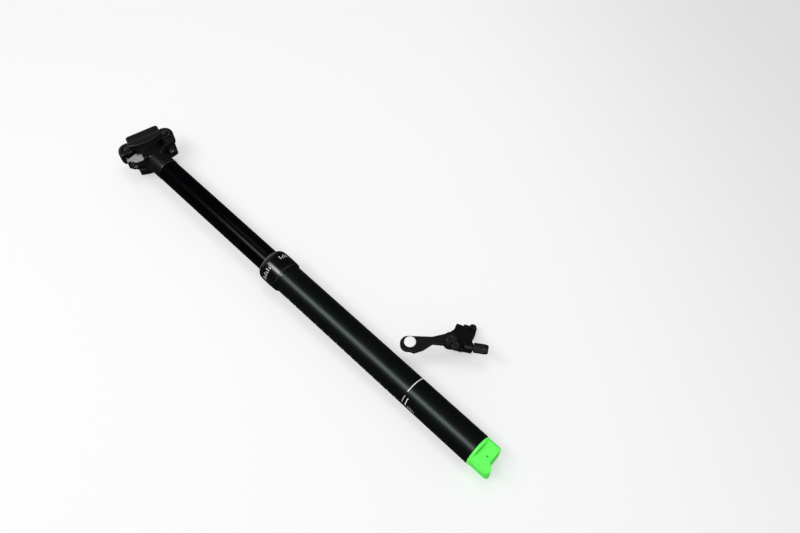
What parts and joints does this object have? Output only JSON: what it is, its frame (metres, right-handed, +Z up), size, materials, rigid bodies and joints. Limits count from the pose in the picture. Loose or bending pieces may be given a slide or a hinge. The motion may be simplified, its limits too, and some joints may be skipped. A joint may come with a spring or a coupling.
{
  "type": "dropper seatpost",
  "caption": "Dropper seatpost lying down: sprung stanchion in a lower tube, two-bolt saddle clamp, cable actuator under a guard cap, and its handlebar thumb lever.",
  "frame": {"origin": "on the post's axis at the underside of the collar, where the frame's seat tube ends", "axes": "+X along the post to the saddle, +Y to the rear of the bicycle, +Z up off the table it lies on"},
  "size_m": [0.542, 0.1244, 0.053],
  "materials": {
    "tube_black": "satin hard-anodised black",
    "collar_black": "smooth anodised black",
    "stanchion_black": "polished anodised black",
    "head_black": "shot-blasted anodised black",
    "remote_black": "shot-blasted anodised black",
    "lever_black": "satin anodised black",
    "barrel_black": "fluted anodised black",
    "bolt_black": "black oxide on steel",
    "actuator_grey": "dark anodised",
    "rubber_black": "matt moulded",
    "bushing_polymer": "bronze-filled bearing polymer",
    "steel_bright": "turned",
    "rod_chrome": "hard-chromed and ground",
    "alloy_raw": "turned",
    "brass_plain": "turned",
    "guard_green": "moulded fluorescent green",
    "pad_white": "smooth inlay"
  },
  "bodies": {
    "lower": {"lower_tube": "tube_black", "seal_collar": "collar_black", "wiper_seal": "rubber_black", "upper_bushing": "bushing_polymer", "actuator_base": "actuator_grey", "base_retaining_ring": "steel_bright", "cartridge_rod": "rod_chrome", "main_piston": "alloy_raw", "piston_ring": "rubber_black", "rod_nut": "steel_bright", "bottom_bumper": "rubber_black", "rocker_pin": "steel_bright"},
    "actuator": {"actuator_rocker": "actuator_grey", "cable_barrel": "brass_plain"},
    "valve": {"valve_pin": "steel_bright"},
    "guard": {"guard_cap": "guard_green"},
    "upper": {"stanchion": "stanchion_black", "lower_bushing": "bushing_polymer", "guide_keys": "brass_plain", "cartridge_tube": "alloy_raw", "rod_gland": "alloy_raw", "rod_seal": "rubber_black", "cartridge_end_plug": "alloy_raw", "cartridge_bolt": "bolt_black", "post_head": "head_black", "front_bolt": "bolt_black", "rear_bolt": "bolt_black", "front_washer": "steel_bright", "rear_washer": "steel_bright"},
    "floater": {"floating_piston": "alloy_raw", "floating_ring": "rubber_black"},
    "clamp": {"lower_cradle": "head_black", "upper_clamp": "head_black"},
    "front_nut": {"front_nut": "bolt_black"},
    "rear_nut": {"rear_nut": "bolt_black"},
    "remote": {"remote_body": "remote_black", "bar_clamp": "remote_black", "clamp_hinge_pin": "steel_bright", "clamp_bolt": "bolt_black", "lever_pivot_bolt": "bolt_black"},
    "lever": {"thumb_lever": "lever_black", "lever_bushing": "brass_plain", "anchor_screw": "bolt_black", "thumb_pad": "pad_white"},
    "barrel": {"barrel_adjuster": "barrel_black"}
  },
  "joints": [
    {"name": "post_drop", "type": "slide", "parent": "lower", "child": "upper", "axis": [1, 0, 0], "range_m": [-0.17, 0], "stiffness_N_per_m": 450},
    {"name": "floating_slide", "type": "slide", "parent": "upper", "child": "floater", "axis": [1, 0, 0], "range_m": [0, 0.0377]},
    {"name": "saddle_tilt", "type": "hinge", "parent": "upper", "child": "clamp", "pos_m": [0.24769, -0.00494, 0], "axis": [0, 0, 1], "range_deg": [-8, 8]},
    {"name": "front_nut_slide", "type": "slide", "parent": "upper", "child": "front_nut", "axis": [0.9636, -0.2672, 0], "range_m": [-0.00313, 0.00313]},
    {"name": "rear_nut_slide", "type": "slide", "parent": "upper", "child": "rear_nut", "axis": [0.9636, -0.2672, 0], "range_m": [-0.00293, 0.00293]},
    {"name": "actuator_swing", "type": "hinge", "parent": "lower", "child": "actuator", "pos_m": [-0.264, 0.004, 0], "axis": [0, 0, 1], "range_deg": [0, 12]},
    {"name": "valve_slide", "type": "slide", "parent": "lower", "child": "valve", "axis": [1, 0, 0], "range_m": [0, 0.00083], "stiffness_N_per_m": 1000},
    {"name": "guard_pull", "type": "slide", "parent": "lower", "child": "guard", "axis": [-1, 0, 0], "range_m": [0, 0.05]},
    {"name": "remote_lift", "type": "slide", "parent": "lower", "child": "remote", "axis": [0, 0, 1], "range_m": [0, 0.12]},
    {"name": "lever_press", "type": "hinge", "parent": "remote", "child": "lever", "pos_m": [-0.1711, -0.0612, 0.01095], "axis": [0, 0, -1], "range_deg": [0, 20], "stiffness_Nm_per_rad": 0.05},
    {"name": "barrel_turn", "type": "hinge", "parent": "remote", "child": "barrel", "pos_m": [-0.19284, -0.07078, 0.0093], "axis": [-0.8293, -0.5588, 0], "continuous": true}
  ],
  "couplings": [
    {"joint": "floating_slide", "follows": "post_drop", "ratio": -0.22145},
    {"joint": "front_nut_slide", "follows": "saddle_tilt", "m_per_rad": 0.022327},
    {"joint": "rear_nut_slide", "follows": "saddle_tilt", "m_per_rad": -0.020932},
    {"joint": "actuator_swing", "follows": "valve_slide", "rad_per_m": 250}
  ]
}
